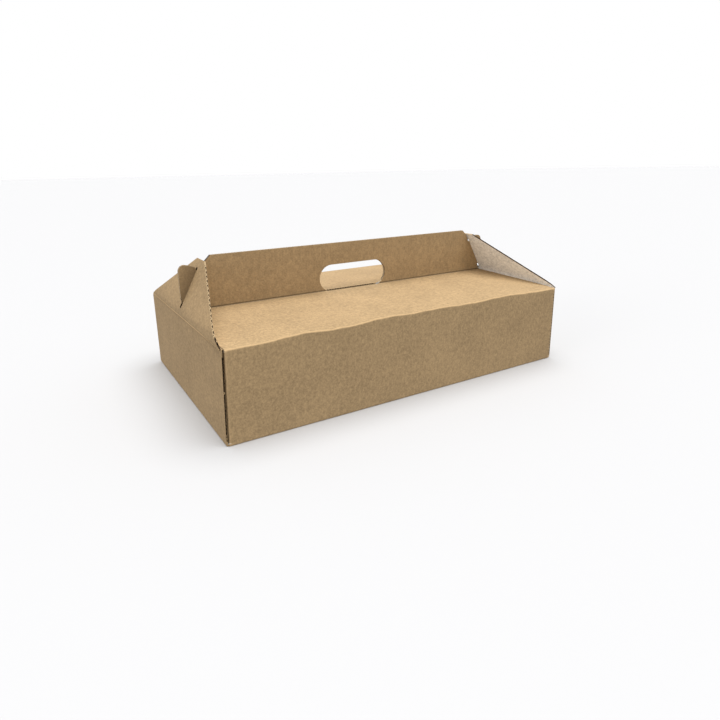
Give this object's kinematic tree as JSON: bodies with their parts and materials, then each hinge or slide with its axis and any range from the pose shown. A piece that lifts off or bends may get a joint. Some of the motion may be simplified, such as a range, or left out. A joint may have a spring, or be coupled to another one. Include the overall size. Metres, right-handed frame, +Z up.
{
  "type": "catering box",
  "caption": "Low brown corrugated carry box folded from one sheet, with a centre handle and leaning end flaps hooked over its ears.",
  "frame": {"origin": "centre of the underside of the box", "axes": "+X along the length, +Y to the rear, +Z up"},
  "size_m": [0.4, 0.244, 0.142],
  "materials": {
    "kraft_board": "matte"
  },
  "bodies": {
    "carton": {"carton": "kraft_board"},
    "left_end_flap": {"left_end_flap": "kraft_board"},
    "right_end_flap": {"right_end_flap": "kraft_board"}
  },
  "joints": [
    {"name": "left_flap_hinge", "type": "hinge", "parent": "carton", "child": "left_end_flap", "pos_m": [-0.1996, 0, 0.085], "axis": [0, -1, 0], "range_deg": [0, 150]},
    {"name": "right_flap_hinge", "type": "hinge", "parent": "carton", "child": "right_end_flap", "pos_m": [0.1996, 0, 0.085], "axis": [0, 1, 0], "range_deg": [0, 150]}
  ]
}
